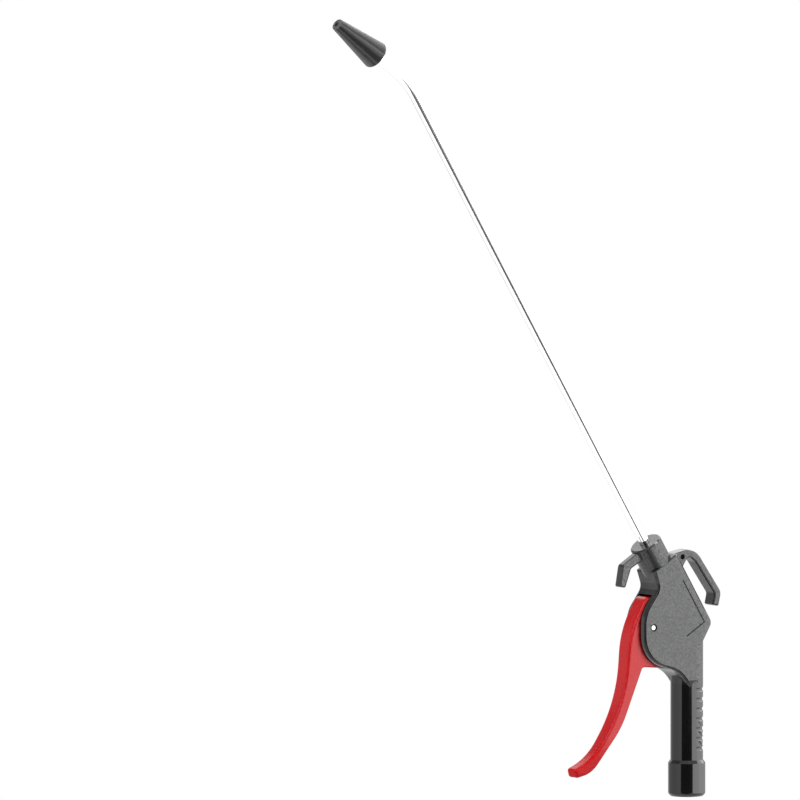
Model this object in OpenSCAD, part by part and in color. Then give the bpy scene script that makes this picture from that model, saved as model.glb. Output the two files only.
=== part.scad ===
// Pneumatic air duster: pistol body with lever, long bent nozzle tube and rubber cone tip.
// Millimetres, +Z up the handle, -X towards the lever, origin at the middle of the inlet mouth.

/* [Handle] */
// Outer diameter of the round handle
handle_d = 24.5; // [22:0.5:27]
// Outer diameter of the inlet collar
collar_d = 28; // [27.5:0.5:34]
// Height of the collar's straight wall
collar_h = 25; // [20:1:30]
// Height of the cone between collar and handle
collar_cone_h = 2.5; // [1:0.5:4]
// Rounding of the collar's lower edge
collar_round = 3; // [1:0.5:4]
// Number of grooves across the back of the handle
groove_count = 7; // [3:1:8]
// Distance from one groove to the next
groove_pitch = 7.4; // [6:0.1:8]
// Radius of the round groove cutter
groove_r = 2.2; // [1.5:0.1:2.6]
// Depth of each groove
groove_depth = 0.7; // [0.3:0.1:1.2]
// Height of the lowest groove over the top of the collar
groove_start = 8.5; // [6:0.5:12]
// Diameter of the air passage up the handle
air_bore_d = 9; // [6:0.5:9.5]

/* [Head] */
// Height of the head's lowest corner over the inlet mouth
grip_h = 90; // [85:1:105]
// Height from there to the top of the head
head_h = 95; // [92:1:105]
// Reach of the head in front of the handle axis
head_front = 50; // [48:0.5:56]
// Thickness of the head from side to side
head_t = 25; // [25:0.5:30]
// Rounding of the head's front edges
front_round = 3; // [2.5:0.25:4]
// Rounding of the head's back edges
back_round = 6; // [4:0.25:6.5]
// Rounding of the shoulder round the barrel
shoulder_round = 1.5; // [0.5:0.25:2]
// Distance from the front outline to the raised side face
panel_inset = 1.5; // [1:0.25:2]
// Height of the step at the edge of the raised side face
panel_step = 0.35; // [0.2:0.05:0.6]
// Slope width of that step
panel_draft = 0.12; // [0.05:0.01:0.3]
// Chamfer along the top of that step
panel_chamfer = 0.25; // [0.1:0.05:0.4]
// Width of the shoulder, from the front of the neck to the back
shoulder_w = 26.6; // [25:0.2:30]
// Length of the straight back edge from shoulder to nose
back_l = 63.9; // [60:0.5:70]
// Width of the engraved corner line
line_w = 1.3; // [0.6:0.1:1.6]
// Depth of the engraved corner line
line_depth = 0.6; // [0.2:0.1:0.8]
// Length of the line's leg along the back edge
line_long = 37; // [20:1:45]
// Length of the line's short leg
line_short = 18.3; // [10:1:25]

/* [Hooks] */
// Width of the rear hook
rear_hook_w = 12; // [8:0.5:12]
// Thickness of the rear hook's arm
rear_hook_t = 5.6; // [4:0.2:6]
// Reach of the rear hook behind the corner of the head
rear_hook_reach = 44; // [40:0.5:48]
// Drop of the rear hook's tip below that corner
rear_hook_drop = 43.2; // [38:0.2:46]
// Width of the front hook
front_hook_w = 7; // [6:0.5:9]
// Thickness of the front hook's arm
front_arm_t = 7.6; // [6:0.2:9]
// Thickness of the front hook's leg
front_leg_t = 5.6; // [4:0.2:6]
// Length of the front hook's leg
front_leg_l = 16.3; // [12:0.5:20]
// Reach of the front hook from the nozzle axis
front_hook_reach = 27.6; // [25:0.2:32]
// Rounding of the hooks' edges
hook_round = 1.2; // [0.6:0.1:1.6]
// Diameter of the hanging hole at the root of the rear hook
hang_hole_d = 4; // [3:0.25:5]

/* [Nozzle] */
// Tilt of the nozzle from the handle axis, in degrees
nozzle_tilt = 31.5; // [28:0.5:35]
// Outer diameter of the outlet barrel
barrel_d = 24.5; // [22:0.5:25]
// Length of the barrel above the shoulder
barrel_l = 18.3; // [12:0.1:22]
// Chamfer on the barrel's rim
barrel_chamfer = 1; // [0.5:0.25:1.5]
// Outer diameter of the nozzle tube
tube_d = 8; // [6:0.5:10]
// Wall of the nozzle tube
tube_wall = 1; // [0.5:0.1:1.5]
// Straight length of the tube from the barrel to the bend
tube_l = 404; // [150:1:500]
// Angle of the bend near the tip, in degrees
bend_angle = 23.5; // [10:0.5:45]
// Radius of the bend, to the middle of the tube
bend_r = 70; // [40:1:120]
// Straight length between the bend and the cone
tip_neck_l = 19.5; // [10:0.5:40]
// Length of the rubber cone
cone_l = 44.5; // [36:0.5:60]
// Diameter of the cone at its wide end
cone_base_d = 21.2; // [18:0.2:26]
// Diameter of the cone at its tip
cone_tip_d = 9.2; // [7:0.2:10]
// Rounding of the cone's wide end
cone_round = 2; // [1:0.25:3]
// Diameter of the air hole in the cone's tip
cone_hole_d = 4; // [2:0.25:4.5]
// Depth of the tube in the cone
cone_socket_l = 22; // [15:0.5:26]

/* [Lever] */
// Width of the lever at its top
lever_w = 15.6; // [13:0.2:16]
// Width of the lever at its lower tip
lever_tip_w = 12; // [10:0.25:13]
// Gap between the lever and each side of its slot
lever_side_gap = 0.35; // [0.3:0.05:0.6]
// Drop of the lever's lower tip below its pin
lever_drop = 110.4; // [95:0.5:115]
// Reach of the lever's lower tip in front of its pin
lever_reach = 67.7; // [60:0.1:75]
// Rounding of the lever's front edges
lever_round = 2.4; // [1:0.2:3]
// Rounding of the lever's back edges
lever_back_round = 1; // [0.5:0.1:1.4]
// Distance from the head's front to the lever pin
pin_inset = 10.5; // [9:0.25:12]
// Diameter of the lever pin
pin_d = 4; // [3:0.25:5]
// Radial clearance of the lever on its pin
pin_gap = 0.05; // [0.03:0.01:0.08]
// Diameter of the recess round each end of the lever pin
pin_recess_d = 5.8; // [5.5:0.1:8]
// Depth of that recess
pin_recess = 0.9; // [0.4:0.1:1.5]

/* [Valve] */
// Diameter of the valve bore
valve_d = 13; // [13:0.25:14]
// Length of the gland nut
gland_l = 9; // [8:0.5:11]
// Length of the cage between gland and seat
cage_l = 9; // [8:0.5:11]
// Thickness of the valve seat
seat_l = 3; // [2.5:0.25:4]
// Diameter of the hole in the valve seat
seat_hole_d = 6; // [5:0.25:6.5]
// Length of the chamber behind the seat
chamber_l = 13.5; // [13:0.5:15]
// Step from the valve bore to the chamber, on the radius
chamber_step = 1; // [0.6:0.1:1.2]
// Diameter of the valve stem
stem_d = 4; // [3:0.25:4.5]
// Diameter of the thinner part of the stem that carries the poppet
stem_neck_d = 2.8; // [2:0.1:3]
// Radial clearance of the stem in its gland
stem_gap = 0.05; // [0.03:0.01:0.08]
// Gap between the lever and the stem at rest
stem_rest_gap = 0.3; // [0.2:0.05:0.4]
// Diameter of the poppet
poppet_d = 9; // [8.5:0.1:9.5]
// Diameter of the spring wire
wire_d = 0.8; // [0.6:0.1:1]
// Number of spring turns
spring_turns = 5; // [4:1:6]
// Diameter of the passage from the valve to the nozzle
channel_d = 5.6; // [4:0.2:6]

/* [Inserts] */
// Diameter of the threaded inlet hole, at the tips of its thread
inlet_d = 11.45; // [11:0.05:13]
// Depth of the threaded inlet hole
inlet_l = 14; // [10:0.5:16]
// Outer diameter of the inlet insert
inlet_insert_d = 18; // [16:0.5:20]
// Length of the inlet insert
inlet_insert_l = 18; // [17:0.5:22]
// Outer diameter of the outlet insert
outlet_insert_d = 15; // [14:0.5:17]
// Length of the outlet insert
outlet_insert_l = 15; // [12:0.5:18]
// Thickness of the barrel's face over the outlet insert
barrel_face_t = 3; // [2:0.25:4]
// Gap round the tube where it enters the barrel's face
tube_gap = 0.2; // [0.1:0.05:0.4]

/* [Hidden] */
$fn = 64;
// One overrun for every cut, and the least radius of a rounded corner
cut = 1;
least_r = 0.5;
black = "#3a3d3e";
brass = "#c9a253";
steel = "#c9ccd0";
rubber = "#202122";
red = "#d03238";

// The nozzle axis, and the places on the head that follow it
nozzle_dir = [cos(90 + nozzle_tilt), sin(90 + nozzle_tilt)];
shoulder_dir = [cos(nozzle_tilt), sin(nozzle_tilt)];
neck_x_share = -0.776;
neck_z_share = 0.8524;
neck_front = [neck_x_share * head_front, grip_h + neck_z_share * head_h];
head_corner = neck_front + shoulder_dir * shoulder_w;
nose = head_corner - nozzle_dir * back_l;
// The barrel stands on the shoulder, a little in front of its middle
barrel_place_share = 0.4207;
barrel_foot = neck_front + shoulder_dir * shoulder_w * barrel_place_share;
barrel_top = barrel_foot + nozzle_dir * barrel_l;

// Lever pin and the slot that the lever works in
pin_z_share = 0.415;
pin = [pin_inset - head_front, grip_h + pin_z_share * head_h];
slot_w = lever_w + 2 * lever_side_gap;
valve_drop_share = 0.1305;
valve_z = pin[1] - valve_drop_share * head_h;
slot_back = 11.5;
slot_back_x = pin[0] + slot_back;
slot_heel = 4.7;
slot_heel_x = slot_back_x + slot_heel;
slot_wall = 3;
slot_heel_z = valve_z - valve_d / 2 - slot_wall;
slot_top_share = 0.669;
slot_top = grip_h + slot_top_share * head_h;
lever_gap = 0.4;

// Valve stations along X, from the slot to the back of the chamber
gland_recess = 0.4;
gland_x = slot_back_x + gland_recess;
cage_x = gland_x + gland_l;
seat_x = cage_x + cage_l;
chamber_x = seat_x + seat_l;
chamber_end_x = chamber_x + chamber_l;
chamber_d = valve_d - 2 * chamber_step;
seat_lip = 0.4;
seat_lip_w = 0.8;
seal_face_x = chamber_x + seat_lip;
poppet_seal_t = 1.2;
poppet_t = 2;
nut_t = 2;
poppet_x = seal_face_x + poppet_seal_t;
nut_x = poppet_x + poppet_t;
stem_end = 0.3;
push_back = 6.1;
push_x = slot_back_x - push_back;
stem_tip_x = push_x + stem_rest_gap;

// O-rings: thickness of the cord of each ring
small_ring = 1.3;
stem_ring = 2;
inlet_ring = 1.6;
tube_ring = 1.8;
ring_gap = 0.05;
washer_t = 1;

// Nozzle stations along its own axis, down from the barrel's face
insert_top = -barrel_face_t;
insert_foot = insert_top - outlet_insert_l;
tube_foot_share = 0.8;
tube_foot = insert_top - outlet_insert_l * tube_foot_share;
sump_l = 2;
sleeve_wall = 1;
sleeve_l = 20;
sleeve_start = 3;

// Rounded outlines: a corner is [x, z, radius, steps], and corners run clockwise in the XZ plane
function unit(v) = v / norm(v);
function right_of(v) = [v[1], -v[0]];
function turned(v, a) = [v[0] * cos(a) - v[1] * sin(a), v[0] * sin(a) + v[1] * cos(a)];
function point(c) = [c[0], c[1]];
function mix(a, b, t) = a + (b - a) * t;

// One corner's arc, where edge_a and edge_b are the [inset, drop] of the edges that meet there
function corner_arc(before, here, after, edge_a, edge_b) =
    let (
        d0 = unit(point(here) - point(before)),
        d1 = unit(point(after) - point(here)),
        n0 = right_of(d0),
        n1 = right_of(d1),
        slide = (edge_b[0] - edge_a[0] * (n0 * n1)) / (d0 * n1),
        c = point(here) + n0 * edge_a[0] + d0 * slide,
        side = cross(d0, d1) < 0 ? 1 : -1,
        r = max(here[2] - side * (edge_a[0] + edge_b[0]) / 2, least_r),
        turn = acos(min(1, d0 * d1)),
        start = c - d0 * r * tan(turn / 2),
        middle = start + n0 * side * r
    )
    [for (i = [0:here[3]]) let (t = i / here[3])
        concat(middle - turned(n0, -side * turn * t) * side * r, mix(edge_a[1], edge_b[1], t))];

// A whole outline, each edge moved in by its own inset: edges[j] runs from corner j to the next
function outline(corners, edges) =
    let (n = len(corners))
    [for (j = [0:n - 1])
        each corner_arc(corners[(j + n - 1) % n], corners[j], corners[(j + 1) % n],
                        edges[(j + n - 1) % n], edges[j])];

// The section of a rounded edge, from the outline to the flat side: a list of [inset, drop]
round_angles = [0, 20, 40, 58, 75, 90];
bar_angles = [0, 45, 90];
lever_angles = [0, 25, 50, 72, 90];
function round_section(r, angles) = [for (a = angles) [r * (1 - cos(a)), r * (1 - sin(a))]];

// The front edge of the head: rounded, then a step up to the raised side face
step_angle = acos(1 - panel_inset / front_round);
front_section = concat(
    [for (i = [0:2]) let (a = step_angle * i / 3)
        [front_round * (1 - cos(a)), front_round * (1 - sin(a))]],
    [[panel_inset, front_round * (1 - sin(step_angle)) + panel_step],
     [panel_inset + panel_draft, panel_chamfer],
     [panel_inset + panel_draft + panel_chamfer, 0]]);

// The foot of the head runs out onto the handle in a long flat ramp
ramp_l = 9;
ramp_h = 2.4;
ramp_steps = len(front_section) - 1;
ramp_section = [for (i = [0:ramp_steps]) [ramp_l * i / ramp_steps, ramp_h * (1 - i / ramp_steps)]];

// Cuts a clockwise outline into triangles, one ear at a time; ids are the points that are left
flat_turn = 0.000001;
function turn_at(a, b, c) = cross([b[0] - a[0], b[1] - a[1]], [c[0] - b[0], c[1] - b[1]]);
function within(p, a, b, c) =
    turn_at(a, b, p) <= 0 && turn_at(b, c, p) <= 0 && turn_at(c, a, p) <= 0;
function is_ear(ring, ids, i) =
    let (n = len(ids), a = ids[(i + n - 1) % n], b = ids[i % n], c = ids[(i + 1) % n])
    turn_at(ring[a], ring[b], ring[c]) < -flat_turn
        && len([for (k = ids) if (k != a && k != b && k != c
            && within(ring[k], ring[a], ring[b], ring[c])) k]) == 0;
function ear_from(ring, ids, i) = is_ear(ring, ids, i) ? i % len(ids) : ear_from(ring, ids, i + 1);
function ears(ring, ids, from = 0) =
    len(ids) == 3 ? [ids]
    : let (n = len(ids), i = ear_from(ring, ids, from))
        concat([[ids[(i + n - 1) % n], ids[i], ids[(i + 1) % n]]],
               ears(ring, [for (k = [0:n - 1]) if (k != i) ids[k]], i + 1));

// A moulded plate: the outline in the XZ plane, thickness t along Y, edges rounded by sections;
// below top_z it loses slope of its thickness for each unit of height
module moulded_plate(corners, sections, t, slope = 0, top_z = 0) {
    count = len(sections[0]);
    rings = [for (k = [0:count - 1]) outline(corners, [for (s = sections) s[k]])];
    n = len(rings[0]);
    layers = concat(
        [for (k = [count - 1:-1:0])
            [for (p = rings[k]) [p[0], p[2] - (t - slope * (top_z - p[1])) / 2, p[1]]]],
        [for (k = [0:count - 1])
            [for (p = rings[k]) [p[0], (t - slope * (top_z - p[1])) / 2 - p[2], p[1]]]]);
    last = len(layers) - 1;
    cap = ears(rings[count - 1], [for (i = [0:n - 1]) i]);
    polyhedron(
        points = [for (layer = layers) each layer],
        faces = concat(
            cap,
            [for (k = [0:last - 1], i = [0:n - 1]) each
                let (a = k * n + i, b = k * n + (i + 1) % n)
                [[a, b + n, b], [a, a + n, b + n]]],
            [for (f = cap) [for (i = [2:-1:0]) last * n + f[i]]]));
}

// Places: children stand in the frame of the nozzle, of the tube beyond the bend, or of the valve
module at_nozzle() translate([barrel_top[0], 0, barrel_top[1]]) rotate([0, -nozzle_tilt, 0]) children();
module at_bend() at_nozzle() translate([-bend_r, 0, tube_l]) children();
module at_tip() at_bend() rotate([0, -bend_angle, 0]) translate([bend_r, 0, tip_neck_l]) children();
module at_valve(x) translate([x, 0, valve_z]) rotate([0, 90, 0]) children();
module across(p) translate([p[0], 0, p[1]]) rotate([90, 0, 0]) children();

// A plain ring, and an O-ring lying round the Z axis with cord thickness cord_d
module ring(outer, inner, h) difference() {
    cylinder(d = outer, h = h);
    translate([0, 0, -cut]) cylinder(d = inner, h = h + 2 * cut);
}
module o_ring(middle_r, cord_d) rotate_extrude() translate([middle_r, 0]) circle(d = cord_d, $fn = 24);

// Head outline, in shares of head_front in X and of head_h in Z and radius
head_shares = [
    [-0.06, -0.116, 0.021, 4], [-0.295, 0.052, 0.263, 8], [-0.962, 0.155, 0.263, 12],
    [-0.966, 0.523, 0.263, 7], [-0.69, 0.721, 0.084, 6]];
tail_shares = [[0.12, 0.226, 0.105, 4], [0.12, -0.116, 0.021, 4]];
neck_r_share = 0.016;
corner_r_share = 0.032;
nose_r_share = 0.072;
function head_corner_at(s) = [s[0] * head_front, grip_h + s[1] * head_h, s[2] * head_h, s[3]];

head_outline = concat(
    [[neck_front[0], neck_front[1], neck_r_share * head_h, 3],
     [head_corner[0], head_corner[1], corner_r_share * head_h, 4],
     [nose[0], nose[1], nose_r_share * head_h, 6]],
    [for (s = tail_shares) head_corner_at(s)],
    [for (s = head_shares) head_corner_at(s)]);
head_sections = concat(
    [round_section(shoulder_round, round_angles)],
    [for (i = [0:2]) round_section(back_round, round_angles)],
    [ramp_section],
    [for (s = head_shares) front_section]);

// Rear hook: a bent bar that leaves the corner of the head, with a filled root over the gap
rear_top_shares = [0.44, 0.05];
rear_bend_shares = [1, -0.738];
rear_lean = 13;
rear_top_r_share = 0.33;
rear_bend_r_share = 0.16;
rear_gap_l_share = 0.695;
rear_root_shares = [0.314, -0.084];
rear_root_r_share = 0.08;
rear_foot_share = 0.37;
rear_start_share = 0.8;
rear_end_share = 0.4;
function hook_at(s) = head_corner + s * rear_hook_reach;
rear_top = hook_at(rear_top_shares);
rear_bend = hook_at(rear_bend_shares);
rear_tip_h = rear_hook_drop - (head_corner[1] - rear_bend[1]);
rear_tip = rear_bend - [rear_tip_h * tan(rear_lean), rear_tip_h];
arm_dir = unit(rear_bend - rear_top);
leg_dir = unit(rear_tip - rear_bend);
arm_in = right_of(arm_dir) * rear_hook_t;
leg_in = right_of(leg_dir) * rear_hook_t;
rear_bend_in = rear_bend + arm_in + arm_dir * ((leg_in * right_of(leg_dir)
    - arm_in * right_of(leg_dir)) / (arm_dir * right_of(leg_dir)));
rear_gap_top = rear_bend_in - arm_dir * rear_gap_l_share * rear_hook_reach;
rear_root = hook_at(rear_root_shares);
rear_foot = head_corner - nozzle_dir * rear_foot_share * rear_hook_reach;
rear_start = head_corner - shoulder_dir * rear_hook_t * rear_start_share;
rear_end = rear_foot - shoulder_dir * rear_hook_t * rear_end_share;
rear_hook_outline = [
    [rear_start[0], rear_start[1], least_r, 1],
    [rear_top[0], rear_top[1], rear_top_r_share * rear_hook_reach, 10],
    [rear_bend[0], rear_bend[1], rear_bend_r_share * rear_hook_reach, 6],
    [rear_tip[0], rear_tip[1], hook_round, 3],
    [rear_tip[0] + leg_in[0], rear_tip[1] + leg_in[1], hook_round, 3],
    [rear_bend_in[0], rear_bend_in[1], rear_root_r_share * rear_hook_reach, 5],
    [rear_gap_top[0], rear_gap_top[1], rear_bend_r_share * rear_hook_reach, 3],
    [rear_root[0], rear_root[1], rear_root_r_share * rear_hook_reach, 7],
    [rear_end[0], rear_end[1], least_r, 1]];
hang_hole_shares = [0.18, -0.096];
hang_hole = hook_at(hang_hole_shares);

// Front hook: an arm square to the nozzle axis, and a leg that hangs down in front of the neck
front_lean = 10;
front_arm_drop_share = 0.08;
front_arm_foot_share = 0.88;
front_root_share = 0.3;
front_corner_r_share = 0.14;
front_inner_r_share = 0.09;
function nozzle_at(x, z) = barrel_top + shoulder_dir * x + nozzle_dir * z;
front_arm_top = -front_arm_drop_share * barrel_l;
front_corner = nozzle_at(-front_hook_reach, front_arm_top);
front_leg_dir = [-sin(front_lean), -cos(front_lean)];
front_leg_in = -right_of(front_leg_dir) * front_leg_t;
front_tip = front_corner + front_leg_dir * front_leg_l;
front_inner = nozzle_at(-front_hook_reach + front_leg_t * cos(front_lean - nozzle_tilt),
                        front_arm_top - front_arm_t * front_arm_foot_share);
front_hook_outline = [
    [front_corner[0], front_corner[1], front_corner_r_share * front_hook_reach, 5],
    for (p = [nozzle_at(-barrel_d * front_root_share, front_arm_top),
              nozzle_at(-barrel_d * front_root_share, front_arm_top - front_arm_t)])
        [p[0], p[1], least_r, 1],
    [front_inner[0], front_inner[1], front_inner_r_share * front_hook_reach, 4],
    [front_tip[0] + front_leg_in[0], front_tip[1] + front_leg_in[1], hook_round, 3],
    [front_tip[0], front_tip[1], hook_round, 3]];

// The engraved corner line follows the back edge and the shoulder
line_inset_share = 0.33;
line_lift_share = 0.252;
line_corner = nose - shoulder_dir * line_inset_share * head_t + nozzle_dir * line_lift_share * head_t;

module engraved_bar(from, to) {
    run = norm(to - from);
    angle = atan2(to[1] - from[1], to[0] - from[0]);
    for (side = [-1, 1])
        translate([from[0], side * head_t / 2, from[1]]) rotate([0, -angle, 0])
            translate([-line_w / 2, -line_depth, -line_w / 2])
                cube([run + line_w, 2 * line_depth, line_w]);
}

module handle_body() {
    top = grip_h + handle_top_share * head_h;
    cylinder(d = handle_d, h = top);
    rotate_extrude() difference() {
        union() {
            translate([0, collar_round]) square([collar_d / 2, collar_h - collar_round]);
            square([collar_d / 2 - collar_round, collar_h]);
            translate([collar_d / 2 - collar_round, collar_round]) circle(r = collar_round);
            polygon([[0, collar_h - collar_cone_h], [collar_d / 2, collar_h - collar_cone_h],
                     [collar_d / 2, collar_h], [handle_d / 2 - collar_taper, collar_h + collar_cone_h],
                     [0, collar_h + collar_cone_h]]);
        }
        translate([-collar_d, -cut]) square([collar_d, collar_h + collar_cone_h + 2 * cut]);
    }
}
handle_top_share = 0.36;
collar_taper = 0.1;

module handle_grooves()
    for (i = [0:groove_count - 1])
        translate([0, 0, collar_h + collar_cone_h + groove_start + i * groove_pitch])
            rotate([0, 0, -90]) rotate_extrude(angle = 180)
                translate([handle_d / 2 + groove_r - groove_depth, 0]) circle(r = groove_r, $fn = 32);

// Air passages, and the seats of what the housing holds
module channel() {
    from = [seat_x - cage_l / 2, valve_z];
    to = nozzle_at(0, insert_foot - sump_l / 2);
    translate([from[0], 0, from[1]]) rotate([0, atan2(to[0] - from[0], to[1] - from[1]), 0])
        cylinder(d = channel_d, h = norm(to - from));
}

module housing_cuts() {
    translate([0, 0, -cut]) cylinder(d = inlet_insert_d, h = inlet_insert_l + cut);
    cylinder(d = air_bore_d, h = valve_z);
    at_valve(slot_back_x - cut) cylinder(d = valve_d, h = chamber_x - slot_back_x + cut);
    at_valve(chamber_x - cut) cylinder(d = chamber_d, h = chamber_l + cut);
    channel();
    at_nozzle() {
        translate([0, 0, insert_foot]) cylinder(d = outlet_insert_d, h = outlet_insert_l);
        translate([0, 0, insert_foot - sump_l]) cylinder(d = tube_d, h = sump_l + cut);
        translate([0, 0, insert_top - cut])
            cylinder(d = tube_d + 2 * tube_gap, h = barrel_face_t + 2 * cut);
    }
    across(pin) cylinder(d = pin_d, h = head_t + 2 * cut, center = true);
    for (side = [-1, 1])
        translate([0, side * (head_t / 2 - pin_recess / 2 + cut / 2), 0]) across(pin)
            cylinder(d = pin_recess_d, h = pin_recess + cut, center = true);
    across(hang_hole) cylinder(d = hang_hole_d, h = head_t, center = true);
    rotate([90, 0, 0]) linear_extrude(height = slot_w, center = true)
        polygon([[-2 * head_front, slot_top], [slot_back_x, slot_top], [slot_back_x, slot_heel_z],
                 [slot_heel_x, slot_heel_z], [slot_heel_x, grip_h - slot_wall],
                 [-2 * head_front, grip_h - slot_wall]]);
    engraved_bar(line_corner, line_corner + nozzle_dir * line_long);
    engraved_bar(line_corner, line_corner - shoulder_dir * line_short);
    handle_grooves();
}

module housing() color(black) difference() {
    union() {
        moulded_plate(head_outline, head_sections, head_t);
        handle_body();
        moulded_plate(rear_hook_outline,
                      [for (c = rear_hook_outline) round_section(hook_round, bar_angles)], rear_hook_w);
        moulded_plate(front_hook_outline,
                      [for (c = front_hook_outline) round_section(hook_round, bar_angles)], front_hook_w);
        at_nozzle() {
            translate([0, 0, -barrel_l - barrel_d / 4])
                cylinder(d = barrel_d, h = barrel_l + barrel_d / 4 - barrel_chamfer);
            translate([0, 0, -barrel_chamfer])
                cylinder(d1 = barrel_d, d2 = barrel_d - 2 * barrel_chamfer, h = barrel_chamfer);
        }
    }
    housing_cuts();
}

// Brass insert with the inlet thread, and its O-ring in a groove of the insert
inlet_groove_share = 0.7;
module inlet_insert() color(brass) difference() {
    cylinder(d = inlet_insert_d, h = inlet_insert_l);
    translate([0, 0, -cut]) cylinder(d = inlet_d, h = inlet_l + cut);
    cylinder(d = air_bore_d, h = inlet_insert_l + cut);
    translate([0, 0, inlet_insert_l * inlet_groove_share - inlet_ring / 2])
        ring(inlet_insert_d + cut, inlet_insert_d - 2 * inlet_ring, inlet_ring);
}
module inlet_seal() color(rubber)
    translate([0, 0, inlet_insert_l * inlet_groove_share])
        o_ring(inlet_insert_d / 2 - inlet_ring / 2, inlet_ring - 2 * ring_gap);

// Brass insert moulded into the barrel, which the tube screws into
module outlet_insert() color(brass) at_nozzle() difference() {
    translate([0, 0, insert_foot]) cylinder(d = outlet_insert_d, h = outlet_insert_l);
    translate([0, 0, tube_foot]) cylinder(d = tube_d, h = insert_top - tube_foot + cut);
    translate([0, 0, insert_foot - cut]) cylinder(d = tube_d - 2 * tube_wall, h = outlet_insert_l);
    translate([0, 0, insert_top - tube_ring]) cylinder(d = tube_d + 2 * tube_ring, h = tube_ring + cut);
}
module outlet_seal() color(rubber) at_nozzle()
    translate([0, 0, insert_top - tube_ring / 2])
        o_ring(tube_d / 2 + tube_ring / 2, tube_ring - 2 * ring_gap);

// A bent rod along the tube: its end beyond the bend is sized up a little, to fit the sleeve
end_swell = 0.01;
end_overlap = 0.5;
module bent_rod(d, swell, over) {
    end_l = tip_neck_l + end_overlap;
    at_nozzle() translate([0, 0, tube_foot - over]) cylinder(d = d, h = tube_l - tube_foot + over);
    at_bend() rotate([90, 0, 0]) rotate_extrude(angle = bend_angle) translate([bend_r, 0]) circle(d = d);
    at_tip() translate([0, 0, -end_l]) cylinder(d = d + 2 * swell, h = end_l + cone_socket_l + over);
}
module nozzle_tube() color("#e6e8ea") difference() {
    bent_rod(tube_d, end_swell, 0);
    bent_rod(tube_d - 2 * tube_wall, end_swell / 2, cut);
}
sleeve_bore_d = tube_d + 2 * end_swell;

// Brass sleeve on the end of the tube, which the rubber cone is moulded round
module tip_sleeve() color(brass) at_tip() difference() {
    union() {
        translate([0, 0, sleeve_start]) cylinder(d = tube_d + 2 * sleeve_wall, h = sleeve_l);
        for (i = [1:3])
            translate([0, 0, sleeve_start + i * sleeve_l / 4])
                cylinder(d = tube_d + 3 * sleeve_wall, h = sleeve_wall);
    }
    translate([0, 0, -cut]) cylinder(d = sleeve_bore_d, h = cone_socket_l + cut);
    cylinder(d = cone_hole_d, h = cone_l);
}
cone_tip_r = 0.8;
module nozzle_tip() color(rubber) at_tip() difference() {
    taper = (cone_base_d - cone_tip_d) / 2 / (cone_l - cone_round);
    rotate_extrude() difference() {
        union() {
            translate([cone_base_d / 2 - cone_round, cone_round]) circle(r = cone_round);
            square([cone_base_d / 2 - cone_round, 2 * cone_round]);
            polygon([[0, cone_round], [cone_base_d / 2, cone_round],
                     [cone_tip_d / 2 + taper * cone_tip_r, cone_l - cone_tip_r],
                     [cone_tip_d / 2 - cone_tip_r / 3, cone_l - cone_tip_r / 4],
                     [cone_tip_d / 2 - cone_tip_r, cone_l], [0, cone_l]]);
        }
        translate([-cone_base_d, -cut]) square([cone_base_d, cone_l + 2 * cut]);
    }
    translate([0, 0, -cut]) cylinder(d = sleeve_bore_d, h = sleeve_start + 2 * cut);
    translate([0, 0, sleeve_start]) cylinder(d = tube_d + 2 * sleeve_wall, h = sleeve_l);
    for (i = [1:3])
        translate([0, 0, sleeve_start + i * sleeve_l / 4])
            cylinder(d = tube_d + 3 * sleeve_wall, h = sleeve_wall);
    cylinder(d = cone_hole_d, h = cone_l + cut);
}

// Lever: its outer curves in shares of lever_reach and lever_drop from the pin
lever_front_shares = [
    [-1, -0.938, 0.02, 4], [-0.7415, -0.875, 0.453, 10], [-0.328, -0.5, 1, 12],
    [-0.266, -0.032, 0.64, 8], [-0.05, 0.206, 0.054, 6]];
lever_back_shares = [
    [-0.09, -0.27, 0.024, 4], [-0.365, -0.672, 0.64, 7], [-0.774, -0.973, 0.2, 7],
    [-0.975, -1, 0.022, 4]];
lever_heel_share = 0.282;
lever_top_share = 0.203;
// The web in the slot: it pushes the stem with a flat face and steps back at its heel
web_r = 2;
web_top_r = 3;
web_foot = 1.5;
push_over = 6;
push_under = 9.8;
heel_step = 1.9;
heel_h = 4.3;
heel_r = 1;
function lever_at(s) = [pin[0] + s[0] * lever_reach, pin[1] + s[1] * lever_drop,
                        s[2] * lever_drop, s[3]];
lever_top = pin[1] + lever_top_share * lever_drop;
lever_heel = pin[1] - lever_heel_share * lever_drop;
web_back = slot_back_x - lever_gap;
heel_x = web_back - heel_step;
lever_outline = concat(
    [[web_back, lever_top - web_top_r, web_r, 3],
     [web_back, pin[1] + web_foot, web_r, 3],
     [push_x, valve_z + push_over, web_r, 3],
     [push_x, valve_z - push_under, web_r, 3],
     [heel_x, lever_heel + heel_h, heel_r, 2],
     [heel_x, lever_heel, web_r, 4]],
    [for (s = lever_back_shares) lever_at(s)],
    [for (s = lever_front_shares) lever_at(s)],
    [[web_back - web_top_r, lever_top, web_top_r, 3]]);
lever_back_edges = 8;
lever_sections = [for (i = [0:len(lever_outline) - 1])
    round_section(i < lever_back_edges ? lever_back_round : lever_round, lever_angles)];
lever_slope = (lever_w - lever_tip_w) / (lever_top - pin[1] + lever_drop);
module lever() color(red) difference() {
    moulded_plate(lever_outline, lever_sections, lever_w, lever_slope, lever_top);
    across(pin) cylinder(d = pin_d + 2 * pin_gap, h = lever_w + cut, center = true);
}

module lever_pin() color(steel)
    across(pin) cylinder(d = pin_d, h = head_t - pin_recess, center = true);

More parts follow.
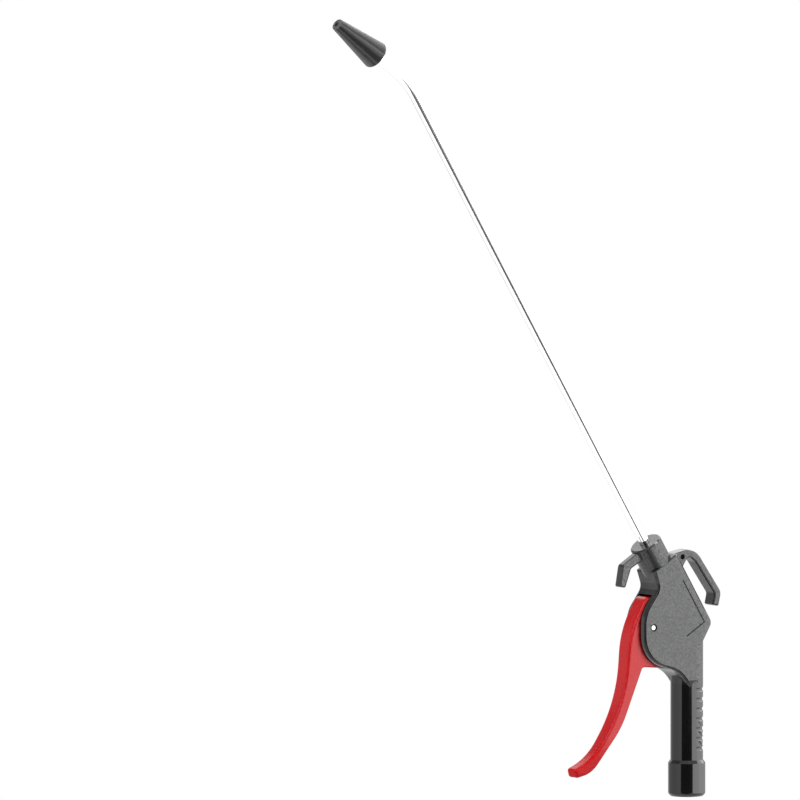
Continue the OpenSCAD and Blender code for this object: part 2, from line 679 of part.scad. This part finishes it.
// Gland nut: guides the stem, with one O-ring outside and one round the stem
module gland_nut() color(brass) at_valve(gland_x) difference() {
    cylinder(d = valve_d, h = gland_l);
    translate([0, 0, -cut]) cylinder(d = stem_d + 2 * stem_gap, h = gland_l + 2 * cut);
    translate([0, 0, gland_l - stem_ring - washer_t])
        cylinder(d = stem_d + 2 * stem_ring, h = stem_ring + washer_t + cut);
    translate([0, 0, gland_l / 3]) ring(valve_d + cut, valve_d - 2 * small_ring, small_ring);
}
module gland_seal() color(rubber) at_valve(gland_x + gland_l / 3 + small_ring / 2)
    o_ring(valve_d / 2 - small_ring / 2, small_ring - 2 * ring_gap);
module stem_seal() color(rubber) at_valve(cage_x - washer_t - stem_ring / 2)
    o_ring(stem_d / 2 + stem_ring / 2, stem_ring - 4 * ring_gap);
module stem_seal_washer() color(steel) at_valve(cage_x - washer_t)
    ring(stem_d + 2 * stem_ring, stem_d + 4 * stem_gap, washer_t);

// Cage: spaces the seat from the gland, with four ports
cage_wall = 1.8;
cage_port_share = 0.6;
module valve_cage() color(brass) at_valve(cage_x) difference() {
    ring(valve_d, valve_d - 2 * cage_wall, cage_l);
    for (a = [0, 90])
        translate([0, 0, cage_l / 2]) rotate([90, 0, a])
            cylinder(d = cage_l * cage_port_share, h = valve_d + cut, center = true);
}

// Seat: a ring with a sealing lip on the chamber side and an O-ring outside
module valve_seat() color(brass) at_valve(seat_x) difference() {
    union() {
        cylinder(d = valve_d, h = seat_l);
        cylinder(d = seat_hole_d + 2 * seat_lip_w, h = seat_l + seat_lip);
    }
    translate([0, 0, -cut]) cylinder(d = seat_hole_d, h = seat_l + seat_lip + 2 * cut);
    translate([0, 0, seat_l / 2 - small_ring / 2])
        ring(valve_d + cut, valve_d - 2 * small_ring, small_ring);
}
module seat_seal() color(rubber) at_valve(seat_x + seat_l / 2)
    o_ring(valve_d / 2 - small_ring / 2, small_ring - 2 * ring_gap);

// Stem with the poppet, its seal and its nut
stem_neck_x = seat_x - stem_d / 2;
module valve_stem() color(steel) {
    at_valve(stem_tip_x) cylinder(d = stem_d, h = stem_neck_x - stem_tip_x);
    at_valve(stem_neck_x) cylinder(d = stem_neck_d, h = nut_x + nut_t + stem_end - stem_neck_x);
}
module poppet_seal() color(rubber) at_valve(seal_face_x)
    ring(poppet_d - chamber_step, stem_neck_d, poppet_seal_t);
module poppet() color(brass) at_valve(poppet_x) ring(poppet_d, stem_neck_d, poppet_t);
nut_d = 5;
module poppet_nut() color(steel) at_valve(nut_x) difference() {
    cylinder(d = nut_d, h = nut_t, $fn = 6);
    translate([0, 0, -cut]) cylinder(d = stem_neck_d, h = nut_t + 2 * cut, $fn = 64);
}

// Valve spring: one unbroken tube of six sides that winds from the poppet to its rest
rest_t = 0.6;
spring_gap = 0.05;
spring_clear = 0.5;
spring_rings = 8;
spring_sides = 6;
spring_middle_r = nut_d / 2 + wire_d / 2 + spring_clear;
spring_from = nut_x + wire_d / 2 + spring_gap;
spring_to = chamber_end_x - rest_t - wire_d / 2 - spring_gap;
function spring_point(t) = [spring_middle_r * cos(360 * t), spring_middle_r * sin(360 * t),
                            (spring_to - spring_from) * t / spring_turns];
module valve_spring() color(steel) at_valve(spring_from) {
    steps = spring_turns * spring_rings;
    pitch = (spring_to - spring_from) / spring_turns;
    lean = atan2(pitch, 2 * PI * spring_middle_r);
    polyhedron(
        points = [for (i = [0:steps], s = [0:spring_sides - 1])
            let (a = 360 * i / spring_rings, b = 360 * s / spring_sides,
                 out = [cos(a), sin(a), 0],
                 up = [sin(a) * sin(lean), -cos(a) * sin(lean), cos(lean)])
            spring_point(i / spring_rings) + wire_d / 2 * (out * cos(b) + up * sin(b))],
        faces = concat(
            [[for (s = [0:spring_sides - 1]) s]],
            [for (i = [0:steps - 1], s = [0:spring_sides - 1]) each
                let (a = i * spring_sides + s, b = i * spring_sides + (s + 1) % spring_sides)
                [[a, b + spring_sides, b], [a, a + spring_sides, b + spring_sides]]],
            [[for (s = [spring_sides - 1:-1:0]) steps * spring_sides + s]]));
}
module spring_rest() color(steel) at_valve(chamber_end_x - rest_t)
    ring(chamber_d, nut_d / 2, rest_t);

housing();
inlet_insert();
inlet_seal();
outlet_insert();
outlet_seal();
nozzle_tube();
tip_sleeve();
nozzle_tip();
lever();
lever_pin();
gland_nut();
gland_seal();
stem_seal();
stem_seal_washer();
valve_cage();
valve_seat();
seat_seal();
valve_stem();
poppet();
poppet_seal();
poppet_nut();
valve_spring();
spring_rest();
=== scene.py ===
import math

import bpy
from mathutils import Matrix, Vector


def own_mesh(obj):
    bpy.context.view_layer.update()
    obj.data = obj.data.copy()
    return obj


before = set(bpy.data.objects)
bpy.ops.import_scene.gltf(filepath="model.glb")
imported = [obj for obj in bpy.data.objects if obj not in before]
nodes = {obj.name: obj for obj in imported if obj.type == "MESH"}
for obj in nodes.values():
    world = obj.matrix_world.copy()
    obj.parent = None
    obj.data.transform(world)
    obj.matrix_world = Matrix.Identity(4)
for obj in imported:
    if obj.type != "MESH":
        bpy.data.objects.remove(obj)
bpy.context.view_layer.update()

# Looks of a pneumatic air duster: materials, floor, lamps and reflection cards round the
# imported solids. Lengths are in metres, and azimuths in degrees as the views count them.
scene = bpy.context.scene
scene.view_settings.view_transform = "Standard"

# Camera: a long lens, seen from the lever's side and a little above
AZIMUTH, ELEVATION = math.radians(-35.5), math.radians(5)
CAMERA_DISTANCE = 25.0
CAMERA_LENS, CAMERA_SENSOR = 1500, 36
CAMERA_NEAR, CAMERA_FAR = 0.1, 50
VIEW_RIGHT, VIEW_UP = -0.2150, 0.2966

# Housing: polished up to HANDLE_TOP, satin above it, textured where |y| reaches SIDE_FACE
HANDLE_TOP, HANDLE_BLEND = 0.084, 0.003
SIDE_FACE, SIDE_BLEND = 0.01245, 0.0001
SATIN_GLOSS, POLISH_SHINE = 0.17, 0.5
# Painted shade: its gaps and grooves are darkened above the foot of the head only
HEAD_FOOT, GROOVE_REACH, GROOVE_SHADE = 0.096, 0.0016, 0.25
# Painted shade: its front edges are darkened from |y| of RIM_START up to the side face, and below
# RIM_TOP
RIM_START, RIM_BLEND, RIM_TOP, RIM_SHADE = 0.0108, 0.0006, 0.16, 0.2
RIM_AHEAD, RIM_ASIDE = -0.55, -0.2
# Lever: painted shade where it enters the slot, and duller below the height WORN_TIP
SLOT_REACH, SLOT_SHADE, SLOT_SHINE = 0.005, 0.08, 0.02
WORN_TIP, WORN_SHINE = (0.034, 0.048), 0.3
# Pin: its axis runs along y, with a bright middle and a painted ring of shade round it
PIN_CENTRE = (-0.0395, 0, 0.129425)
PIN_BRIGHT, PIN_FULL_SHADE, CHAMFER_SHADE = 0.0012, 0.0017, 0.08
# Cone: its tip, and its lean from upright towards the lever's side
CONE_TIP, CONE_LEAN = (-0.32187, 0, 0.59437), 55
# The cone's colour turns paler towards its tip end
CONE_TIP_LOW, CONE_TIP_HIGH, CONE_TIP_TONE = -0.0012, -0.0002, 4
# Its painted reflection streaks, as (place from one side to the other, share of the rubber's
# colour)
CONE_REFLECTION_STREAKS = ((0.0, 4.6), (0.04, 3.4), (0.11, 0.8), (0.16, 2.8), (0.24, 0.6), (0.36, 0.3),
                (0.46, 1.7), (0.55, 3.4), (0.62, 0.3), (0.72, 1.9), (0.82, 3.0), (1.0, 8.0))
STREAK_STRETCH, STREAK_WANDER = 16, 0.05
# Depths of the relief that the shaders add
GRAIN_DEPTH, WAVE_DEPTH, SCRATCH_DEPTH = 0.00002, 0.00008, 0.00001
# Most of a noise's values lie between these two
NOISE_LOW, NOISE_HIGH = 0.3, 0.7
# Edges that turn by more than this many degrees stay sharp
CORNER_ANGLE = 28

BLACK, TEXTURED_BLACK = (0.006, 0.0062, 0.0063), (0.038, 0.0385, 0.039)
RED = (0.49, 0.005, 0.008)
CONE_BLACK, SEAL_BLACK = (0.022, 0.022, 0.023), (0.02, 0.02, 0.02)
CHROME, BRASS = (0.94, 0.945, 0.95), (0.72, 0.54, 0.24)
PIN_STEEL, VALVE_STEEL = (0.80, 0.81, 0.82), (0.68, 0.69, 0.70)
WHITE, CARD_WHITE = (1, 1, 1), (0.94, 0.94, 0.94)
FLOOR_DARK, FLOOR_LIGHT = (0.93, 0.93, 0.93), (0.96, 0.96, 0.96)

# Room: light from the world, and a floor far below that glows a little, so that it looks white
WORLD_LEVEL = 0.45
FLOOR_HEIGHT, FLOOR_SIZE, FLOOR_GLOW = -1.2, 6, 0.55
# Lamps, as (name, place, size, power)
LAMPS = (("key", (1.3, -1.3, 0.8), (0.5, 0.7), 22),
         ("fill", (-1.7, -0.6, 1.2), (1.0, 1.2), 30))
LAMP_TARGET = (-0.15, 0, 0.3)
# Cards, as (name, brightness, distance, low end, high end), where an end is (first azimuth,
# last azimuth, height). The dark ones draw the black bands of the handle, collar and tube,
# and the bright ones the haze on the sides.
NEAR, FAR = 1.4, 1.5
GREY_FIRST, GREY_WIDTH, GREY_COUNT, GREY_TONE, GREY_FALL = -73, 13, 8, 1.4, 0.11
END_FIRST, END_WIDTH, END_TONES = 62, 15, (3.3, 2.4, 1.5, 0.9, 0.6, 0.5, 0.5)
CARDS = [("dark front", 0.006, NEAR, (-72, 1, -0.13), (-72, 1, -0.035)),
         ("dark edge", 0.006, NEAR, (-72, -22, -0.035), (-72, -22, 0.9)),
         ("dark foot", 0.02, NEAR, (-72, -22, -0.25), (-72, 1, -0.13)),
         ("dark low", 0.1, NEAR, (-56, -12, -1.15), (-56, -26, -0.25)),
         ("dim low", 0.55, NEAR, (-68, -57, -1.15), (-68, -57, -0.25)),
         ("dim low end", 0.55, NEAR, (-11, -3, -1.15), (-25, -14, -0.25))]
for step in range(GREY_COUNT):
    last = GREY_FIRST - GREY_WIDTH * step
    CARDS.append(("grey side", GREY_TONE - GREY_FALL * step, FAR,
                  (last - GREY_WIDTH, last, -0.5), (last - GREY_WIDTH, last, 0.6)))
CARDS += [("dim above", 0.35, FAR, (-177, -73, 0.6), (-177, -73, 2.4)),
          ("bright side", 4.2, FAR, (2, 62, -0.5), (2, 62, 1.4)),
          ("bright crown", 13, FAR, (-10, 62, 3.8), (-10, 62, 6.5))]
for step, tone in enumerate(END_TONES):
    first = END_FIRST + END_WIDTH * step
    CARDS.append(("side end", tone, FAR,
                  (first, first + END_WIDTH, -0.5), (first, first + END_WIDTH, 0.5)))
CARDS += [("bright top", 4.0, FAR, (62, 121, 0.5), (62, 121, 2.9)),
          ("bright back", 2.2, FAR, (122, 182, 0.5), (122, 182, 2.0))]


def make_camera():
    right = Vector((math.cos(AZIMUTH), math.sin(AZIMUTH), 0))
    towards = Vector((math.sin(AZIMUTH) * math.cos(ELEVATION),
                      -math.cos(AZIMUTH) * math.cos(ELEVATION), math.sin(ELEVATION)))
    middle = right * VIEW_RIGHT + towards.cross(right) * VIEW_UP
    camera = bpy.data.objects.new("camera", bpy.data.cameras.new("camera"))
    scene.collection.objects.link(camera)
    camera.data.lens, camera.data.sensor_width = CAMERA_LENS, CAMERA_SENSOR
    camera.data.clip_start, camera.data.clip_end = CAMERA_NEAR, CAMERA_FAR
    camera.location = middle + towards * CAMERA_DISTANCE
    camera.rotation_mode = "QUATERNION"
    camera.rotation_quaternion = (-towards).to_track_quat("-Z", "Y")
    scene.camera = camera


class Tree:
    """A node tree, with short calls for the nodes that the materials share."""

    def __init__(self, owner):
        owner.use_nodes = True
        self.tree = owner.node_tree
        self.tree.nodes.clear()

    def add(self, kind, inputs=(), **settings):
        """Adds a node, and links or sets its inputs."""
        node = self.tree.nodes.new(kind)
        for name, value in settings.items():
            setattr(node, name, value)
        for key, value in dict(inputs).items():
            if isinstance(value, bpy.types.NodeSocket):
                self.tree.links.new(value, node.inputs[key])
            else:
                node.inputs[key].default_value = value
        return node

    def place(self):
        return self.add("ShaderNodeTexCoord").outputs["Object"]

    def axes(self, vector):
        return self.add("ShaderNodeSeparateXYZ", {"Vector": vector}).outputs

    def number(self, operation, first, second=0.5):
        return self.add("ShaderNodeMath", {0: first, 1: second}, operation=operation).outputs[0]

    def vector(self, operation, first, second=(0, 0, 0)):
        return self.add("ShaderNodeVectorMath", {0: first, 1: second},
                        operation=operation).outputs[0]

    def shade(self, colour, share):
        """The colour times a share."""
        return self.add("ShaderNodeVectorMath", {0: colour, "Scale": share},
                        operation="SCALE").outputs[0]

    def blend(self, share, first, second):
        """One number that turns into another as share goes from 0 to 1."""
        return self.add("ShaderNodeMix", {"Factor": share, "A": first,
                                          "B": second}).outputs["Result"]

    def noise(self, scale, detail=2, roughness=0.5, vector=None):
        if vector is None:
            vector = self.stretched((1, 1, 1))
        return self.add("ShaderNodeTexNoise", {
            "Vector": vector, "Scale": scale, "Detail": detail,
            "Roughness": roughness}).outputs["Fac"]

    def stretched(self, scale):
        """The object's own coordinates, times a scale along each axis."""
        return self.add("ShaderNodeMapping", {"Vector": self.place(),
                                              "Scale": scale}).outputs["Vector"]

    def ramp(self, value, stops):
        node = self.add("ShaderNodeValToRGB", {"Fac": value})
        elements = node.color_ramp.elements
        while len(elements) < len(stops):
            elements.new(0.5)
        for element, (position, colour) in zip(elements, stops):
            element.position = position
            element.color = (*colour, 1)
        return node.outputs["Color"]

    def mottled(self, noise, first, second, low=NOISE_LOW, high=NOISE_HIGH):
        """A colour that wanders between two with a noise."""
        return self.ramp(noise, [(low, first), (high, second)])

    def span(self, value, low, high, from_low=0.0, from_high=1.0):
        """Maps the range from_low to from_high to low and high, and stays within them."""
        return self.add("ShaderNodeMapRange", {
            "Value": value, "From Min": from_low, "From Max": from_high,
            "To Min": low, "To Max": high}).outputs["Result"]

    def uneven(self, noise, low, high):
        """A number that wanders between two with a noise."""
        return self.span(noise, low, high, NOISE_LOW, NOISE_HIGH)

    def bump(self, height, distance, strength=1.0, normal=None):
        inputs = {"Height": height, "Distance": distance, "Strength": strength}
        if normal is not None:
            inputs["Normal"] = normal
        return self.add("ShaderNodeBump", inputs).outputs["Normal"]

    def open_share(self, distance, low, high):
        """1 on open surfaces, falling to 0 in narrow gaps, grooves and inner corners; a mask for
        painted shade.
        """
        node = self.add("ShaderNodeAmbientOcclusion", {"Distance": distance}, samples=12)
        return self.span(node.outputs["AO"], 0, 1, low, high)

    def surface(self, inputs):
        """Ends a material with a principled shader."""
        shader = self.add("ShaderNodeBsdfPrincipled", inputs)
        self.add("ShaderNodeOutputMaterial", {"Surface": shader.outputs["BSDF"]})


def scaled(colour, factor):
    return tuple(c * factor for c in colour)


def lever_plastic(colour, roughness, grain, spread, shine):
    """Red moulding: fine grain, faint flow marks, a slightly uneven gloss, a worn tip, and
    painted shade where it enters the slot.
    """
    material = bpy.data.materials.new("lever plastic")
    t = Tree(material)
    # Painted shade: colour and gloss fall off where the lever enters the housing's slot
    clear = t.open_share(SLOT_REACH, 0.5, 0.9)
    flow = t.noise(scale=38, detail=4, roughness=0.55)
    tint = t.mottled(flow, scaled(colour, 1 - spread), scaled(colour, 1 + spread))
    tip_factor = t.span(t.axes(t.place())["Z"], WORN_SHINE, 1, *WORN_TIP)
    soft = t.bump(t.noise(scale=300), GRAIN_DEPTH, 0.1)
    fine = t.noise(scale=2600, detail=3, roughness=0.6)
    t.surface({
        "Base Color": t.shade(tint, t.span(clear, SLOT_SHADE, 1)),
        "Roughness": t.uneven(t.noise(scale=160, detail=3), roughness - 0.05, roughness + 0.05),
        "Specular IOR Level": t.number("MULTIPLY", t.span(clear, SLOT_SHINE, shine), tip_factor),
        "Normal": t.bump(fine, GRAIN_DEPTH, grain, soft)})
    return material


def painted_rim_shade(t, axes, side, flat, upper):
    """Painted shade: RIM_SHADE along the head's front edges, beside the raised side faces, and 1
    elsewhere.
    """
    facing = t.add("ShaderNodeTexCoord").outputs["Normal"]
    ahead = t.span(t.axes(facing)["X"], 1, 0, RIM_AHEAD, RIM_ASIDE)
    below = t.span(axes["Z"], 1, 0, RIM_TOP, RIM_TOP + HANDLE_BLEND)
    rim = t.span(side, 0, 1, RIM_START, RIM_START + RIM_BLEND)
    for share in (ahead, below, upper):
        rim = t.number("MULTIPLY", rim, share)
    return t.span(t.number("SUBTRACT", rim, flat), 1, RIM_SHADE)


def body_plastic(polished, textured):
    """Black moulding: polished handle and collar, satin above, textured on the flat sides, with
    painted shade in its gaps and grooves and along its front rims.
    """
    material = bpy.data.materials.new("body plastic")
    t = Tree(material)
    axes = t.axes(t.place())
    side = t.number("ABSOLUTE", axes["Y"])
    upper = t.span(axes["Z"], 0, 1, HANDLE_TOP, HANDLE_TOP + HANDLE_BLEND)
    flat = t.span(side, 0, 1, SIDE_FACE - SIDE_BLEND, SIDE_FACE)
    eroded = t.number("MULTIPLY", upper, flat)
    speckle = t.noise(scale=700, detail=3, roughness=0.65)

    # Painted shade: colour and gloss are darkened in gaps, grooves and inner corners above the
    # head's foot, and along the front rims
    foot = t.span(axes["Z"], 1, 0, HEAD_FOOT, HEAD_FOOT + 2 * HANDLE_BLEND)
    clear = t.span(t.open_share(GROOVE_REACH, 0.45, 0.85), GROOVE_SHADE, 1)
    clear = t.number("MAXIMUM", foot, clear)
    clear = t.number("MULTIPLY", clear, painted_rim_shade(t, axes, side, flat, upper))

    satin = tuple((p + q) / 2 for p, q in zip(polished, textured))
    lower = t.ramp(upper, [(0, polished), (1, satin)])
    whole = t.add("ShaderNodeMixRGB", {"Fac": eroded, "Color1": lower,
                                       "Color2": (*textured, 1)}).outputs[0]
    marks = t.uneven(t.noise(scale=40, detail=4, roughness=0.55), 0.88, 1.12)

    fine = t.uneven(t.noise(scale=200, detail=3), 0.08, 0.11)
    soft = t.blend(upper, fine, SATIN_GLOSS)
    shine = t.blend(upper, POLISH_SHINE, t.span(speckle, 0.3, 0.65, 0.35, 0.65))
    grain = t.noise(scale=2400, detail=3, roughness=0.6)
    t.surface({
        "Base Color": t.shade(whole, t.number("MULTIPLY", marks, clear)),
        "Roughness": t.blend(eroded, soft, t.uneven(speckle, 0.30, 0.42)),
        "Specular IOR Level": t.number("MULTIPLY", shine, clear),
        "Normal": t.bump(grain, GRAIN_DEPTH, t.number("MULTIPLY", upper, 0.4))})
    return material


def seal_rubber(colour, roughness):
    """Moulded rubber: dusty mottling and a soft, slightly wavy surface."""
    material = bpy.data.materials.new("seal rubber")
    t = Tree(material)
    dust = t.noise(scale=220, detail=5, roughness=0.65)
    wavy = t.bump(t.noise(scale=120), WAVE_DEPTH, 0.35)
    t.surface({
        "Base Color": t.mottled(dust, scaled(colour, 0.8), scaled(colour, 1.35), 0.35, 0.75),
        "Roughness": t.uneven(t.noise(scale=90, detail=3), roughness - 0.08, roughness + 0.08),
        "Specular IOR Level": 0.5,
        "Normal": t.bump(t.noise(scale=1800), GRAIN_DEPTH, 0.3, wavy)})
    return material


def cone_rubber(colour):
    """The nozzle's rubber cone: painted reflection streaks that run along it, and paler towards
    its tip end.
    """
    material = bpy.data.materials.new("cone rubber")
    t = Tree(material)
    local = t.vector("SUBTRACT", t.place(), CONE_TIP)
    lean = (0, math.radians(CONE_LEAN), 0)
    upright = t.add("ShaderNodeMapping", {"Vector": local, "Rotation": lean}).outputs["Vector"]
    around = t.vector("NORMALIZE", t.vector("MULTIPLY", upright, (1, 1, 0)))
    along = t.vector("MULTIPLY", upright, (0, 0, STREAK_STRETCH))
    drift = t.noise(scale=3, detail=3, roughness=0.6, vector=t.vector("ADD", around, along))
    wander = t.uneven(drift, -STREAK_WANDER, STREAK_WANDER)
    across = t.span(t.number("ADD", t.axes(around)["X"], wander), 0, 1, -1, 1)
    # Painted reflection: dark and light streaks along the cone, set by the place from one side to
    # the other
    streaks = t.ramp(across, [(spot, scaled(colour, share)) for spot, share in CONE_REFLECTION_STREAKS])
    # Paler towards the tip end
    tip_factor = t.span(t.axes(upright)["Z"], 0, 1, CONE_TIP_LOW, CONE_TIP_HIGH)
    pale = (*scaled(colour, CONE_TIP_TONE), 1)
    t.surface({
        "Base Color": t.add("ShaderNodeMixRGB", {"Fac": tip_factor, "Color1": streaks,
                                                 "Color2": pale}).outputs[0],
        "Roughness": t.uneven(t.noise(scale=300, detail=3), 0.4, 0.55),
        "Specular IOR Level": 0.2,
        "Sheen Weight": t.uneven(t.noise(scale=500, detail=4, roughness=0.6), 0.03, 0.25),
        "Sheen Roughness": 0.35,
        "Normal": t.bump(t.noise(scale=1500), GRAIN_DEPTH, 0.3)})
    return material


def metal(name, colour, roughness, along=(1, 1, 1), streak=0.2, uneven=0.04):
    """Turned, drawn or plated metal: faint streaks along one way and small changes of gloss."""
    material = bpy.data.materials.new(name)
    t = Tree(material)
    streaks = t.noise(scale=420, detail=3, roughness=0.6, vector=t.stretched(along))
    t.surface({
        "Base Color": t.mottled(t.noise(scale=60, detail=3), scaled(colour, 0.94), colour),
        "Metallic": 1.0,
        "Roughness": t.uneven(streaks, max(roughness - uneven, 0.02), roughness + uneven),
        "Normal": t.bump(streaks, SCRATCH_DEPTH, streak)})
    return material


def pin_steel(colour):
    """The lever's pin: bright end faces with a painted ring of shade round them."""
    material = bpy.data.materials.new("pin steel")
    t = Tree(material)
    local = t.vector("SUBTRACT", t.place(), PIN_CENTRE)
    flat = t.vector("MULTIPLY", local, (1, 0, 1))
    reach = t.add("ShaderNodeVectorMath", {0: flat}, operation="LENGTH").outputs["Value"]
    # Painted shade: the colour darkens into a ring round the bright middle of each end
    rim = t.span(reach, 0, 1, PIN_BRIGHT, PIN_FULL_SHADE)
    t.surface({
        "Base Color": t.ramp(rim, [(0, colour), (1, scaled(colour, CHAMFER_SHADE))]),
        "Metallic": 1.0,
        "Roughness": t.uneven(t.noise(scale=420, detail=3), 0.26, 0.34)})
    return material


def repaint(material, *names):
    for name in names:
        mesh = nodes[name].data
        mesh.materials.clear()
        mesh.materials.append(material)


def smooth(name, angle):
    """Shades a node's shallow edges smooth and keeps its real corners."""
    nodes[name].data.shade_smooth()
    split = nodes[name].modifiers.new("corners", "EDGE_SPLIT")
    split.split_angle = math.radians(angle)


def area_lamp(name, place, size, power):
    """A lamp that points at the middle of the part and shows in no reflection."""
    lamp = bpy.data.lights.new(name, "AREA")
    lamp.shape = "RECTANGLE"
    lamp.size, lamp.size_y = size
    lamp.energy = power
    holder = bpy.data.objects.new(name, lamp)
    scene.collection.objects.link(holder)
    holder.location = place
    holder.rotation_mode = "QUATERNION"
    aim = Vector(LAMP_TARGET) - Vector(place)
    holder.rotation_quaternion = aim.to_track_quat("-Z", "Y")
    holder.visible_glossy = False


def white_to_the_eye(t):
    """1 for camera, glossy and transmission rays, and 0 for the rays that carry light."""
    rays = t.add("ShaderNodeLightPath").outputs
    seen = t.number("MAXIMUM", rays["Is Camera Ray"], rays["Is Glossy Ray"])
    return t.number("MAXIMUM", seen, rays["Is Transmission Ray"])


def make_world(level):
    """White to the eye, and a softer light on the part."""
    world = bpy.data.worlds.new("studio")
    scene.world = world
    t = Tree(world)
    lit = t.add("ShaderNodeBackground", {"Color": (*WHITE, 1), "Strength": level})
    seen = t.add("ShaderNodeBackground", {"Color": (*WHITE, 1), "Strength": 1.0})
    mix = t.add("ShaderNodeMixShader", {0: white_to_the_eye(t),
                                        1: lit.outputs[0], 2: seen.outputs[0]})
    t.add("ShaderNodeOutputWorld", {"Surface": mix.outputs[0]})


def staged(name, verts, faces):
    """A piece of the studio: not part of the object."""
    mesh = bpy.data.meshes.new(name)
    mesh.from_pydata(verts, [], faces)
    piece = bpy.data.objects.new(name, mesh)
    scene.collection.objects.link(piece)
    material = bpy.data.materials.new(name)
    mesh.materials.append(material)
    return piece, Tree(material)


def make_floor(height, size, glow_level):
    corners = ((-size, -size), (size, -size), (size, size), (-size, size))
    floor, t = staged("floor", [(x, y, height) for x, y in corners], [(0, 1, 2, 3)])
    tint = t.mottled(t.noise(scale=2), FLOOR_DARK, FLOOR_LIGHT)
    matt = t.add("ShaderNodeBsdfDiffuse", {"Color": tint})
    share = t.number("MULTIPLY", white_to_the_eye(t), glow_level)
    glow = t.add("ShaderNodeEmission", {"Color": (*WHITE, 1), "Strength": share})
    both = t.add("ShaderNodeAddShader", {0: matt.outputs[0], 1: glow.outputs[0]})
    t.add("ShaderNodeOutputMaterial", {"Surface": both.outputs[0]})


def make_card(name, tone, distance, low_end, high_end, steps=24):
    """A curved card of the studio that only reflections see."""
    verts, faces = [], []
    for i in range(steps + 1):
        for first, last, height in (low_end, high_end):
            a = math.radians(first + (last - first) * i / steps)
            verts.append(Vector((math.sin(a) * distance, -math.cos(a) * distance, height)))
        if i:
            faces.append((2 * i - 2, 2 * i, 2 * i + 1, 2 * i - 1))
    card, t = staged(name, verts, faces)
    tint = t.mottled(t.noise(scale=3), CARD_WHITE, WHITE)
    glow = t.add("ShaderNodeEmission", {"Color": tint, "Strength": tone})
    t.add("ShaderNodeOutputMaterial", {"Surface": glow.outputs[0]})
    card.visible_camera = card.visible_diffuse = card.visible_shadow = False
    card.visible_transmission = False


make_camera()

repaint(body_plastic(BLACK, TEXTURED_BLACK), "housing")
repaint(lever_plastic(RED, roughness=0.26, grain=0.03, spread=0.05, shine=0.27), "lever")
repaint(cone_rubber(CONE_BLACK), "nozzle_tip")
repaint(seal_rubber(SEAL_BLACK, roughness=0.4),
        "inlet_seal", "outlet_seal", "gland_seal", "stem_seal", "seat_seal", "poppet_seal")
repaint(metal("tube chrome", CHROME, roughness=0.09, along=(1, 1, 0.1), streak=0.01, uneven=0.01),
        "nozzle_tube")
repaint(metal("brass", BRASS, roughness=0.25), "inlet_insert", "outlet_insert", "tip_sleeve",
        "gland_nut", "valve_cage", "valve_seat", "poppet")
repaint(pin_steel(PIN_STEEL), "lever_pin")
repaint(metal("valve steel", VALVE_STEEL, roughness=0.28), "stem_seal_washer", "valve_stem",
        "poppet_nut", "valve_spring", "spring_rest")
for name in nodes:
    smooth(name, CORNER_ANGLE)
# The polished handle shows no red line of the lever
nodes["lever"].visible_glossy = False

make_world(WORLD_LEVEL)
make_floor(FLOOR_HEIGHT, FLOOR_SIZE, FLOOR_GLOW)
for card in CARDS:
    make_card(*card)
for lamp in LAMPS:
    area_lamp(*lamp)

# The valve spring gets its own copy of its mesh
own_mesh(nodes["valve_spring"])
